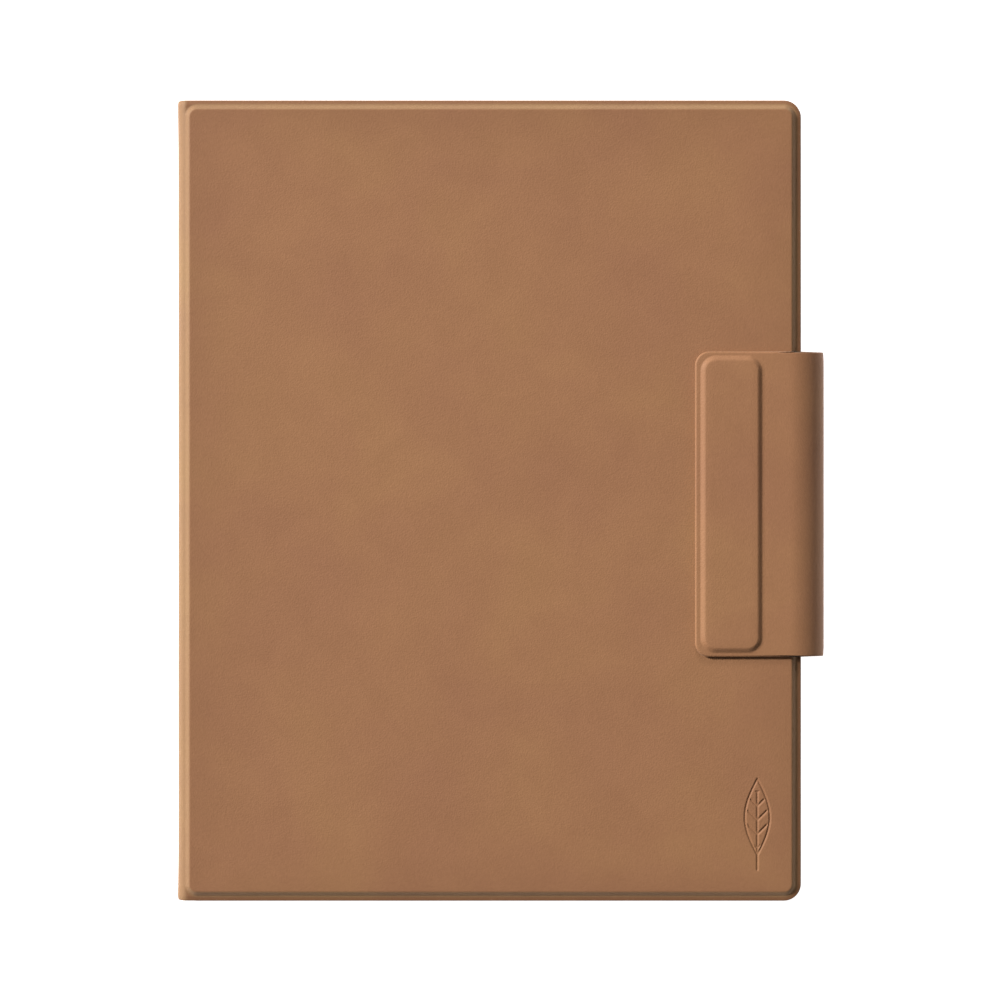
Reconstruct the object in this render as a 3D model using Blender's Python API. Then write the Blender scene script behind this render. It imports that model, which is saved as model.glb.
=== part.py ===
"""A 10.3 inch e-reader held by magnets in a closed leather folio with a magnetic closure flap.

Frame, in metres: +Z points up out of the front cover, +Y to the head of the page and +X to the
closure flap. The origin is the middle of the underside of the whole object.

The folio's leather runs in one sheet round the rear cover, the spine and the front cover. It is
in separate nodes here because it folds at two creases. The closure flap is one strap, and it
folds at two bends. Each fold has its axis on an empty, and what it moves is parented to it.
"""

import math

import bmesh
import bpy
from mathutils import Vector

MM = 0.001

# The reader, which sets the size of everything round it
READER_WIDTH = 183.0 * MM
READER_HEIGHT = 235.0 * MM
READER_THICKNESS = 4.6 * MM
READER_CORNER = 7.0 * MM

# Room round the reader in the folio
SPINE_ROOM = 2.3 * MM  # outer face of the spine to the reader's side
FORE_MARGIN = 0.9 * MM  # cover beyond the reader's other side
END_MARGIN = 2.0 * MM  # cover beyond the reader's head and tail
REST_GAP = 0.3 * MM  # reader to each lining, and front cover to flap

# Layers of a cover, from outside in
SKIN = 0.6 * MM
GLUE = 0.1 * MM
BOARD = 1.1 * MM
LINING = 0.5 * MM
COVER = SKIN + GLUE + BOARD + GLUE + LINING
EDGE = SKIN + GLUE + LINING  # the rim beyond the board
RISE = COVER - EDGE  # the board's panel stands this far proud of the rim
RIM_WIDTH = 1.3 * MM
SLOPE_WIDTH = 1.8 * MM
SPINE_SLOPE = 1.6 * MM  # the panel's slope on the side of the spine
COVER_CORNER = 5.0 * MM
PANEL_CORNER = 3.2 * MM
SQUARE_CORNER = 0.3 * MM
BEND = 2.3 * MM  # outer radius of the leather at each side of the spine
SPLIT = 0.1 * MM  # between two nodes of one sheet

# The closure flap
LOOP_DEPTH = 6.9 * MM  # how far the flap stands out past the covers
FLAP_LENGTH = 91.0 * MM
FLAP_OFFSET = -1.1 * MM  # the flap's middle along Y
FLAP_REACH = 31.8 * MM  # how far its tip reaches in over the front cover
FLAP_FLAT_END = 3.5 * MM  # where its bend starts, in from the cover's edge
FLAP_CORNER = 4.2 * MM
FLAP_SKIN = 0.6 * MM
FLAP_LINING = 0.4 * MM
FLAP = FLAP_SKIN + GLUE + FLAP_LINING
PLATE_WIDTH = 16.8 * MM  # the raised magnet pocket
PLATE_LENGTH = 86.9 * MM
PLATE_INSET = 2.4 * MM  # from the flap's tip to the middle of the pocket's slope
PLATE_RISE = 0.8 * MM
PLATE_SLOPE = 2.0 * MM
PLATE_CORNER = 3.2 * MM

# Places that follow from the sizes above
CASE_WIDTH = SPINE_ROOM + READER_WIDTH + FORE_MARGIN
CASE_HEIGHT = READER_HEIGHT + 2 * END_MARGIN
SPINE_X = -(CASE_WIDTH + LOOP_DEPTH) / 2
HINGE_X = SPINE_X + BEND  # the covers start here
FORE_X = SPINE_X + CASE_WIDTH
LOOP_X = FORE_X + LOOP_DEPTH
HEAD_Y = CASE_HEIGHT / 2
READER_X = SPINE_X + SPINE_ROOM + READER_WIDTH / 2
READER_Z = COVER + REST_GAP
READER_TOP = READER_Z + READER_THICKNESS
FRONT_Z = READER_TOP + REST_GAP + COVER  # top of the front cover's panel
SPINE_LOW = RISE
SPINE_HIGH = FRONT_Z - RISE
FLAP_Z = FRONT_Z + REST_GAP
FLAP_TOP = FLAP_Z + FLAP
LOOP_MID_Z = (RISE + FLAP_TOP) / 2 - 0.5 * MM
PLATE_X = FORE_X - FLAP_REACH + PLATE_INSET + PLATE_WIDTH / 2

# The reader's layers, as heights over its underside
FLOOR = 0.7 * MM
WALL = 1.2 * MM
WALL_TOP = 4.1 * MM
LENS = 0.35 * MM
BEZEL_WIDTH = 1.6 * MM
CLEAR = 0.1 * MM  # between stacked parts
MAIN_BOARD_Z, MAIN_BOARD = 1.5 * MM, 0.6 * MM
MID_FRAME_Z, MID_FRAME = 2.5 * MM, 0.4 * MM
DIGITISER_Z, DIGITISER = 3.0 * MM, 0.4 * MM
PAPER_Z, PAPER = 3.5 * MM, 0.6 * MM
PORT_Z = 2.3 * MM  # middle height of the port, the button and the speaker holes

# What the reader holds, measured from its own middle
PANEL_SIZE = (165.0 * MM, 218.0 * MM)  # electronic paper with a 10.3 inch picture
PANEL_Y = 2.5 * MM
MID_FRAME_Y = 3.3 * MM
MID_FRAME_SIZE = (179.6 * MM, 216.4 * MM)
MAGNET_X = 84.0 * MM
MAGNET_Y = 60.0 * MM
MAGNET_SIZE = (5.0 * MM, 50.0 * MM)
BOARD_Y = -85.0 * MM
PORT_SIZE = (8.9 * MM, 2.9 * MM)
PORT_DEPTH = 7.2 * MM
PORT_SHELL = 0.3 * MM
SPEAKER_X = 60.0 * MM
SPEAKER_HOLES = 6
SPEAKER_HOLE = 1.3 * MM
SPEAKER_PITCH = 2.4 * MM
MICROPHONE_X = 20.0 * MM
MICROPHONE_HOLE = 0.9 * MM
BUTTON_X = -62.0 * MM
BUTTON_SIZE = (11.0 * MM, 1.8 * MM)
BUTTON_PROUD = 0.3 * MM
FRAME_SCREWS = [(side * 86.6 * MM, y * MM) for side in (-1, 1) for y in (-98.0, 0.0, 104.0)]
BOARD_SCREWS = [(-74.0 * MM, BOARD_Y), (0.0, BOARD_Y + 14.0 * MM), (74.0 * MM, BOARD_Y)]
FRAME_BOSS = (2.0 * MM, 2.4 * MM)  # radius, top over the reader's underside
BOARD_BOSS = (1.8 * MM, 1.4 * MM)
SCREW_SHANK = 0.7 * MM
SCREW_HOLE = 0.9 * MM

# Blocks in the reader: middle, width and height, and underside and thickness
BATTERY = (39.0 * MM, 22.0 * MM), (75.0 * MM, 150.0 * MM), (FLOOR + CLEAR, 1.6 * MM)
READER_MAGNET = (MAGNET_X, MAGNET_Y), MAGNET_SIZE, (FLOOR + CLEAR, 1.2 * MM)
SPEAKER = (SPEAKER_X, -111.0 * MM), (24.0 * MM, 9.5 * MM), (FLOOR + CLEAR, 2.6 * MM)
MICROPHONE = (MICROPHONE_X, -114.2 * MM), (4.0 * MM, 3.0 * MM), (1.6 * MM, 1.4 * MM)
ANTENNA = (50.0 * MM, 115.6 * MM), (42.0 * MM, 0.6 * MM), (1.0 * MM, 2.6 * MM)
SWITCH = (BUTTON_X, 113.3 * MM), (6.0 * MM, 2.4 * MM), (1.0 * MM, 2.4 * MM)

CORNER_STEPS = 6
ROUND_STEPS = 16

# Colour, metallic, roughness
FINISHES = {
    "leather": ((0.36, 0.18, 0.09), 0.0, 0.62),
    "microfibre": ((0.27, 0.20, 0.15), 0.0, 0.9),
    "fibreboard": ((0.30, 0.28, 0.25), 0.0, 0.85),
    "magnet": ((0.62, 0.62, 0.60), 1.0, 0.32),
    "steel": ((0.55, 0.56, 0.57), 1.0, 0.38),
    "housing": ((0.74, 0.73, 0.70), 0.0, 0.5),
    "bezel": ((0.80, 0.79, 0.76), 0.0, 0.42),
    "lens": ((0.72, 0.72, 0.69), 0.0, 0.28),
    "paper_panel": ((0.55, 0.56, 0.54), 0.0, 0.6),
    "aluminium": ((0.66, 0.67, 0.68), 1.0, 0.42),
    "circuit_board": ((0.03, 0.16, 0.10), 0.0, 0.45),
    "flex": ((0.45, 0.22, 0.05), 0.0, 0.4),
    "battery": ((0.10, 0.10, 0.11), 0.0, 0.5),
    "black_plastic": ((0.02, 0.02, 0.02), 0.0, 0.45),
}


# ---------------------------------------------------------------- helpers


def clear_scene():
    for item in list(bpy.data.objects):
        bpy.data.objects.remove(item, do_unlink=True)


def make_material(name):
    colour, metallic, roughness = FINISHES[name]
    material = bpy.data.materials.new(name)
    material.use_nodes = True
    surface = material.node_tree.nodes["Principled BSDF"]
    surface.inputs["Base Color"].default_value = (*colour, 1.0)
    surface.inputs["Metallic"].default_value = metallic
    surface.inputs["Roughness"].default_value = roughness
    return material


def material_for(name):
    return bpy.data.materials.get(name) or make_material(name)


def make_body(name, at=(0.0, 0.0, 0.0), parent=None):
    """An empty that the pieces of one rigid body hang from, on its joint's axis."""
    empty = bpy.data.objects.new(name, None)
    empty.empty_display_size = 10 * MM
    bpy.context.scene.collection.objects.link(empty)
    empty["at"] = list(at)
    empty.parent = parent
    origin = Vector(parent["at"]) if parent else Vector()
    empty.location = Vector(at) - origin
    return empty


def add_object(name, body, points, faces, finish, at=None):
    """A mesh object whose points are in the object's frame of the whole; at is its own origin."""
    origin = Vector(at) if at else Vector(body["at"])
    mesh = bpy.data.meshes.new(name)
    mesh.from_pydata([Vector(p) - origin for p in points], [], faces)
    shape = bmesh.new()
    shape.from_mesh(mesh)
    bmesh.ops.recalc_face_normals(shape, faces=shape.faces)
    shape.to_mesh(mesh)
    shape.free()
    mesh.shade_smooth()
    mesh.set_sharp_from_angle(angle=math.radians(35))
    mesh.materials.append(material_for(finish))
    item = bpy.data.objects.new(name, mesh)
    bpy.context.scene.collection.objects.link(item)
    item.parent = body
    item.location = origin - Vector(body["at"])
    return item


def rounded_box(low_x, high_x, low_y, high_y, left=SQUARE_CORNER, right=None, steps=CORNER_STEPS):
    """A rectangle's outline with arcs at its corners, anticlockwise from the bottom left."""
    right = left if right is None else right
    corners = (
        (low_x + left, low_y + left, left, 180),
        (high_x - right, low_y + right, right, 270),
        (high_x - right, high_y - right, right, 0),
        (low_x + left, high_y - left, left, 90),
    )
    points = []
    for x, y, radius, start in corners:
        for step in range(steps + 1):
            angle = math.radians(start + 90 * step / steps)
            points.append((x + radius * math.cos(angle), y + radius * math.sin(angle)))
    return points


def circle(x, y, radius, steps=ROUND_STEPS):
    turns = [2 * math.pi * step / steps for step in range(steps)]
    return [(x + radius * math.cos(a), y + radius * math.sin(a)) for a in turns]


def level(outline, z):
    return [(x, y, z) for x, y in outline]


def upright(outline, y):
    """An outline drawn in X and Z, at a place along Y."""
    return [(x, y, z) for x, z in outline]


def loft_faces(rings, looped=False):
    """Faces between rings with the same count of points, and caps on the first and the last."""
    count = len(rings[0])
    faces = []
    for low in range(len(rings) if looped else len(rings) - 1):
        high = (low + 1) % len(rings)
        for i in range(count):
            j = (i + 1) % count
            faces.append((low * count + i, low * count + j, high * count + j, high * count + i))
    if not looped:
        faces.append(tuple(range(count)))
        faces.append(tuple(range((len(rings) - 1) * count, len(rings) * count)))
    return faces


def loft(name, body, rings, finish, looped=False, at=None):
    points = [p for ring in rings for p in ring]
    return add_object(name, body, points, loft_faces(rings, looped), finish, at)


def slab(name, body, outline, low, high, finish, at=None):
    return loft(name, body, [level(outline, low), level(outline, high)], finish, at=at)


def block(name, body, centre, size, low, high, finish, corner=0.5 * MM):
    """A flat block on the reader: its middle, its width and height, and its two levels."""
    (x, y), (width, height) = centre, size
    outline = rounded_box(x - width / 2, x + width / 2, y - height / 2, y + height / 2, corner, steps=3)
    return slab(name, body, outline, low, high, finish, at=(x, y, (low + high) / 2))


def strip(name, body, profile, low_y, high_y, finish):
    """A profile in X and Z run straight along Y."""
    return loft(name, body, [upright(profile, low_y), upright(profile, high_y)], finish)


def cutter(name, shapes):
    """One hidden helper made of several closed shapes that don't touch. A shape is a list of rings."""
    points, faces = [], []
    for rings in shapes:
        faces += [tuple(len(points) + i for i in face) for face in loft_faces(rings)]
        points += [p for ring in rings for p in ring]
    item = add_object(name, WORLD, points, faces, "black_plastic")
    item.hide_render = True
    item.display_type = "WIRE"
    return item


def combine(item, other, operation):
    modifier = item.modifiers.new(operation.title(), "BOOLEAN")
    modifier.operation = operation
    modifier.solver = "EXACT"
    modifier.object = other


# ---------------------------------------------------------------- bends of the leather


def bend_curve(centre, half_width, half_height, start, end, steps=8):
    """Points and outward normals along part of an ellipse in X and Z, between two angles."""
    curve = []
    for step in range(steps + 1):
        t = math.radians(start + (end - start) * step / steps)
        point = Vector((centre[0] + half_width * math.cos(t), centre[1] + half_height * math.sin(t)))
        normal = Vector((math.cos(t) / half_width, math.sin(t) / half_height)).normalized()
        curve.append((point, normal))
    return curve


def layer(curve, outer, inner):
    """The closed profile between two depths under a curve."""
    over = [point - normal * outer for point, normal in curve]
    under = [point - normal * inner for point, normal in reversed(curve)]
    return [tuple(p) for p in over + under]


def curve_length(curve):
    return sum((b[0] - a[0]).length for a, b in zip(curve, curve[1:]))


def fold_axis(flat_point, along, turned_point, length):
    """The axis about which a quarter turn lays a bend of this length out flat.

    flat_point is where the bend leaves its flat side, heading along; turned_point is its far end.
    """
    laid = Vector(flat_point) + Vector(along) * length
    turned = Vector(turned_point)
    middle = (laid + turned) / 2
    half = (laid - turned) / 2
    across = Vector((-half.y, half.x))
    bend_centre_side = across.dot(Vector(flat_point) - middle)
    return middle + (across if bend_centre_side > 0 else -across)


def halfway(half_width, half_height):
    """The ellipse angle where its normal is at 45 degrees."""
    return math.degrees(math.atan2(half_height, half_width))


LOOP_LOW = (FORE_X, LOOP_MID_Z), LOOP_DEPTH, LOOP_MID_Z - RISE
LOOP_HIGH = (
    (FORE_X - FLAP_FLAT_END, LOOP_MID_Z),
    LOOP_DEPTH + FLAP_FLAT_END,
    FLAP_TOP - LOOP_MID_Z,
)
LOW_SPLIT = -halfway(*LOOP_LOW[1:])
HIGH_SPLIT = halfway(*LOOP_HIGH[1:])
SPINE_LOW_BEND = (HINGE_X, SPINE_LOW + BEND), BEND, BEND
SPINE_HIGH_BEND = (HINGE_X, SPINE_HIGH - BEND), BEND, BEND


def quarter_length(bend):
    return curve_length(bend_curve(*bend, 0, 90, 32))


SPINE_AXIS = fold_axis(
    (HINGE_X, SPINE_LOW), (-1, 0), (SPINE_X, SPINE_LOW + BEND), quarter_length(SPINE_LOW_BEND)
)
COVER_AXIS = fold_axis(
    (HINGE_X, SPINE_HIGH), (-1, 0), (SPINE_X, SPINE_HIGH - BEND), quarter_length(SPINE_HIGH_BEND)
)
ROOT_AXIS = fold_axis((FORE_X, RISE), (1, 0), (LOOP_X, LOOP_MID_Z), quarter_length(LOOP_LOW))
TIP_AXIS = fold_axis(
    (FORE_X - FLAP_FLAT_END, FLAP_TOP), (1, 0), (LOOP_X, LOOP_MID_Z), quarter_length(LOOP_HIGH)
)


# ---------------------------------------------------------------- covers


def cover_ring(spine_inset, inset, z, left, right):
    """One level of a cover: how far in it lies on the spine's side and on the other three."""
    outline = rounded_box(
        HINGE_X + spine_inset, FORE_X - inset, -HEAD_Y + inset, HEAD_Y - inset, left, right
    )
    return level(outline, z)


def cover_skin(name, body, z_of):
    """Leather pressed over the board: a raised panel, its slope and a rim. z_of takes the depth."""
    spine_foot = 0.05 * MM
    wall = 0.3 * MM  # the inside of the slope is this much further in than the outside
    spine_side, other_sides = SPINE_SLOPE + wall, RIM_WIDTH + SLOPE_WIDTH + wall
    rings = [
        cover_ring(spine_side, other_sides, z_of(SKIN), PANEL_CORNER, PANEL_CORNER),
        cover_ring(spine_foot + SKIN, RIM_WIDTH + SKIN, z_of(RISE + SKIN), PANEL_CORNER, PANEL_CORNER),
        cover_ring(0, 0, z_of(RISE + SKIN), SQUARE_CORNER, COVER_CORNER),
        cover_ring(0, 0, z_of(RISE), SQUARE_CORNER, COVER_CORNER),
    ]
    for share in (0.0, 0.2, 0.45, 0.7, 1.0):
        climbed = math.sin(share * math.pi / 2) ** 1.5
        rings.append(
            cover_ring(
                spine_foot + SPINE_SLOPE * share,
                RIM_WIDTH + SLOPE_WIDTH * share,
                z_of(RISE * (1 - climbed)),
                PANEL_CORNER,
                PANEL_CORNER + (1 - share) * MM,
            )
        )
    return loft(name, body, rings, "leather")


def cover_board(name, body, z_of, pockets):
    """The stiff board, with a pocket through it for each magnet."""
    spine_side = SPINE_SLOPE + 0.55 * MM
    other_sides = RIM_WIDTH + SLOPE_WIDTH + 0.5 * MM
    corner = 2.5 * MM
    top, under = z_of(SKIN + GLUE), z_of(SKIN + GLUE + BOARD)
    rings = [cover_ring(spine_side, other_sides, z, corner, corner) for z in (top, under)]
    board = loft(name, body, rings, "fibreboard")
    grow, reach = 0.15 * MM, 1.0 * MM
    shapes = []
    for (x, y), (width, height) in pockets:
        half_width, half_height = width / 2 + grow, height / 2 + grow
        hole = rounded_box(x - half_width, x + half_width, y - half_height, y + half_height, steps=2)
        shapes.append([level(hole, min(top, under) - reach), level(hole, max(top, under) + reach)])
    combine(board, cutter(name + "_pockets", shapes), "DIFFERENCE")
    return board


def cover_lining(name, body, z_of):
    low, high = COVER - LINING, COVER
    rings = [cover_ring(0, 0, z_of(depth), SQUARE_CORNER, COVER_CORNER) for depth in (low, high)]
    return loft(name, body, rings, "microfibre")


def board_magnet(name, body, z_of, centre, size, finish="magnet"):
    thickness = 0.9 * MM
    depth = SKIN + GLUE + (BOARD - thickness) / 2
    levels = sorted((z_of(depth), z_of(depth + thickness)))
    return block(name, body, centre, size, *levels, finish)


def rear_z(depth):
    return depth


def front_z(depth):
    return FRONT_Z - depth


def hinge_bend(name, body, bend, start, end):
    """The half of a crease that stays with a cover: skin and lining in one."""
    gap = math.degrees(SPLIT / BEND)
    curve = bend_curve(*bend, start + gap, end - gap, 5)
    return strip(name, body, layer(curve, 0, EDGE), -HEAD_Y, HEAD_Y, "leather")


def build_rear_cover(body):
    spots = [(READER_X + side * MAGNET_X, end * MAGNET_Y) for side in (-1, 1) for end in (-1, 1)]
    cover_skin("rear_cover_skin", body, rear_z)
    cover_board("rear_cover_board", body, rear_z, [(spot, MAGNET_SIZE) for spot in spots])
    cover_lining("rear_cover_lining", body, rear_z)
    for number, spot in enumerate(spots, 1):
        board_magnet(f"rear_cover_magnet_{number}", body, rear_z, spot, MAGNET_SIZE)
    hinge_bend("rear_hinge_crease", body, SPINE_LOW_BEND, 225, 270)


def build_front_cover(body):
    catch_spot, catch_size = (PLATE_X, FLAP_OFFSET), (13.0 * MM, 80.0 * MM)
    wake_spot, wake_size = (READER_X - 80.0 * MM, 96.0 * MM), (6.0 * MM, 12.0 * MM)
    cover_skin("front_cover_skin", body, front_z)
    cover_board("front_cover_board", body, front_z, [(catch_spot, catch_size), (wake_spot, wake_size)])
    cover_lining("front_cover_lining", body, front_z)
    board_magnet("flap_catch_plate", body, front_z, catch_spot, catch_size, "steel")
    board_magnet("wake_magnet", body, front_z, wake_spot, wake_size)
    hinge_bend("front_hinge_crease", body, SPINE_HIGH_BEND, 90, 135)


def build_spine(body):
    """The strip between the two creases, over half of each bend."""
    gap = math.degrees(SPLIT / BEND)
    high = bend_curve(*SPINE_HIGH_BEND, 135 + gap, 180, 4)
    low = bend_curve(*SPINE_LOW_BEND, 180, 225 - gap, 4)
    curve = high + low
    strip("spine_skin", body, layer(curve, 0, SKIN), -HEAD_Y, HEAD_Y, "leather")
    strip("spine_lining", body, layer(curve, SKIN + GLUE, EDGE), -HEAD_Y, HEAD_Y, "microfibre")


# ---------------------------------------------------------------- closure flap


def flap_strip(name, body, curve):
    half = FLAP_LENGTH / 2
    return strip(name, body, layer(curve, 0, FLAP), FLAP_OFFSET - half, FLAP_OFFSET + half, "leather")


def build_flap_bends(cover, web, tip):
    """The strap leaves the rear cover's rim, goes round the loop and comes in over the front."""
    low_gap = math.degrees(SPLIT / LOOP_LOW[2])
    high_gap = math.degrees(SPLIT / LOOP_HIGH[2])
    start_gap = math.degrees(SPLIT / LOOP_LOW[1])
    flat_gap = math.degrees(SPLIT / LOOP_HIGH[1])
    flap_strip("flap_root", cover, bend_curve(*LOOP_LOW, -90 + start_gap, LOW_SPLIT - low_gap, 6))
    web_curve = bend_curve(*LOOP_LOW, LOW_SPLIT + low_gap, 0, 4)
    web_curve += bend_curve(*LOOP_HIGH, 0, HIGH_SPLIT - high_gap, 4)[1:]
    flap_strip("flap_web", web, web_curve)
    flap_strip("flap_bend", tip, bend_curve(*LOOP_HIGH, HIGH_SPLIT + high_gap, 90 - flat_gap, 7))


def plate_box(grow, corner):
    half_width, half_length = PLATE_WIDTH / 2 + grow, PLATE_LENGTH / 2 + grow
    return rounded_box(
        PLATE_X - half_width,
        PLATE_X + half_width,
        FLAP_OFFSET - half_length,
        FLAP_OFFSET + half_length,
        corner,
    )


def flap_box(fore_side):
    half = FLAP_LENGTH / 2
    return rounded_box(
        FORE_X - FLAP_REACH, fore_side, FLAP_OFFSET - half, FLAP_OFFSET + half, FLAP_CORNER, SQUARE_CORNER
    )


def build_flap_tip(body):
    """The flat end over the front cover, with its magnets in a raised pocket."""
    outline = flap_box(FORE_X - FLAP_FLAT_END)
    under = FLAP_Z + FLAP_LINING + GLUE
    pocket_top = FLAP_TOP + PLATE_RISE - 0.55 * MM
    rings = [
        level(plate_box(-1.8 * MM, 1.4 * MM), pocket_top),
        level(plate_box(-1.3 * MM, 1.9 * MM), under),
        level(outline, under),
        level(outline, FLAP_TOP),
    ]
    for share in (0.0, 0.25, 0.5, 0.75, 1.0):
        grow = PLATE_SLOPE * (0.5 - share)
        height = (1 - math.cos(share * math.pi)) / 2
        rings.append(level(plate_box(grow, PLATE_CORNER + grow), FLAP_TOP + PLATE_RISE * height))
    loft("flap_tip_skin", body, rings, "leather")
    slab("flap_tip_lining", body, outline, FLAP_Z, FLAP_Z + FLAP_LINING, "microfibre")
    magnet, pitch = (12.0 * MM, 24.0 * MM), 26.0 * MM
    for number in (1, 2, 3):
        spot = (PLATE_X, FLAP_OFFSET + (number - 2) * pitch)
        block(f"flap_magnet_{number}", body, spot, magnet, under, pocket_top - GLUE, "magnet")


# ---------------------------------------------------------------- the reader


def reader_box(inset, corner=None):
    half_width, half_height = READER_WIDTH / 2 - inset, READER_HEIGHT / 2 - inset
    corner = READER_CORNER - inset if corner is None else corner
    return rounded_box(READER_X - half_width, READER_X + half_width, -half_height, half_height, corner)


def reader_spot(x, y):
    """A place on the reader, from its own middle."""
    return READER_X + x, y


def reader_z(z):
    """A height over the reader's underside."""
    return READER_Z + z


def reader_block(name, body, place, finish, corner=0.5 * MM, side=1, end=1):
    """A block in the reader. side and end of -1 mirror its place to the left and to the tail."""
    (x, y), size, (low, thickness) = place
    low = reader_z(low)
    return block(name, body, reader_spot(side * x, end * y), size, low, low + thickness, finish, corner)


def across_wall(x, width, thickness, y, corner=0.7 * MM):
    """A cutter's two rings for a slot through the head or tail wall, at the port's height."""
    reach = 1.5 * MM
    slot = rounded_box(
        READER_X + x - width / 2,
        READER_X + x + width / 2,
        reader_z(PORT_Z) - thickness / 2,
        reader_z(PORT_Z) + thickness / 2,
        min(corner, thickness / 2 * 0.98),
        steps=4,
    )
    return [upright(slot, y - reach), upright(slot, y + reach)]


def build_housing(body):
    """A tray with the bosses that the inner parts are screwed to and holes for what reaches out."""
    edge = 0.9 * MM
    rings = [level(reader_box(WALL), reader_z(z)) for z in (FLOOR, WALL_TOP)]
    rings.append(level(reader_box(0), reader_z(WALL_TOP)))
    for share in (0.0, 0.35, 0.7, 1.0):
        turn = share * math.pi / 2
        rings.append(level(reader_box(edge * (1 - math.cos(turn))), reader_z(edge * (1 - math.sin(turn)))))
    housing = loft("rear_housing", body, rings, "housing")

    bosses, holes = [], []
    for places, (radius, top) in ((FRAME_SCREWS, FRAME_BOSS), (BOARD_SCREWS, BOARD_BOSS)):
        for x, y in places:
            ring = circle(*reader_spot(x, y), radius)
            bosses.append([level(ring, reader_z(FLOOR / 2)), level(ring, reader_z(top))])
            pilot = circle(*reader_spot(x, y), SCREW_HOLE)
            holes.append([level(pilot, reader_z(FLOOR * 0.7)), level(pilot, reader_z(top + MM))])

    tail, head = -READER_HEIGHT / 2 + WALL / 2, READER_HEIGHT / 2 - WALL / 2
    clearance = 0.2 * MM
    port_hole = [length + clearance for length in PORT_SIZE]
    button_hole = [length + clearance for length in BUTTON_SIZE]
    holes.append(across_wall(0, *port_hole, tail, corner=1.4 * MM))
    holes.append(across_wall(BUTTON_X, *button_hole, head))
    for side in (-1, 1):
        for number in range(SPEAKER_HOLES):
            x = side * SPEAKER_X + (number - (SPEAKER_HOLES - 1) / 2) * SPEAKER_PITCH
            holes.append(across_wall(x, SPEAKER_HOLE, SPEAKER_HOLE, tail))
    holes.append(across_wall(MICROPHONE_X, MICROPHONE_HOLE, MICROPHONE_HOLE, tail))
    combine(housing, cutter("housing_bosses", bosses), "UNION")
    combine(housing, cutter("housing_holes", holes), "DIFFERENCE")


def build_front(body):
    """The bezel on the housing's wall, and the stack of the screen inside it."""
    low, high, edge = reader_z(WALL_TOP + GLUE), READER_TOP, 0.25 * MM
    rings = [
        level(reader_box(BEZEL_WIDTH), low),
        level(reader_box(0), low),
        level(reader_box(0), high - edge),
        level(reader_box(edge), high),
        level(reader_box(BEZEL_WIDTH), high),
    ]
    loft("front_bezel", body, rings, "bezel", looped=True)
    slab("front_lens", body, reader_box(BEZEL_WIDTH + GLUE), high - LENS, high - 0.05 * MM, "lens")

    panel = (0, PANEL_Y), PANEL_SIZE, (PAPER_Z, PAPER)
    digitiser_size = [length - 2 * MM for length in PANEL_SIZE]
    digitiser = (0, PANEL_Y), digitiser_size, (DIGITISER_Z, DIGITISER)
    mid_frame = (0, MID_FRAME_Y), MID_FRAME_SIZE, (MID_FRAME_Z, MID_FRAME)
    reader_block("epaper_panel", body, panel, "paper_panel")
    reader_block("pen_digitiser", body, digitiser, "circuit_board")
    frame = reader_block("mid_frame", body, mid_frame, "aluminium", 4 * MM)
    holes = []
    for x, y in FRAME_SCREWS:
        ring = circle(*reader_spot(x, y), SCREW_HOLE)
        holes.append([level(ring, reader_z(MID_FRAME_Z - MM)), level(ring, reader_z(MID_FRAME_Z + MM))])
    combine(frame, cutter("mid_frame_holes", holes), "DIFFERENCE")


def flex(name, body, x, width, edge_y, top_z, inner_y):
    """A flexible circuit from the edge of a layer, down and back in over the main board."""
    thick, out = 0.2 * MM, 1.0 * MM
    low = reader_z(MAIN_BOARD_Z + MAIN_BOARD + CLEAR)
    outer = [(edge_y, top_z + thick), (edge_y - out, top_z + thick), (edge_y - out, low), (inner_y, low)]
    inner = [
        (inner_y, low + thick),
        (edge_y - out + thick, low + thick),
        (edge_y - out + thick, top_z),
        (edge_y, top_z),
    ]
    profile = outer + inner
    sides = [[(READER_X + x + side * width / 2, y, z) for y, z in profile] for side in (-1, 1)]
    return loft(name, body, sides, "flex")


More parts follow.
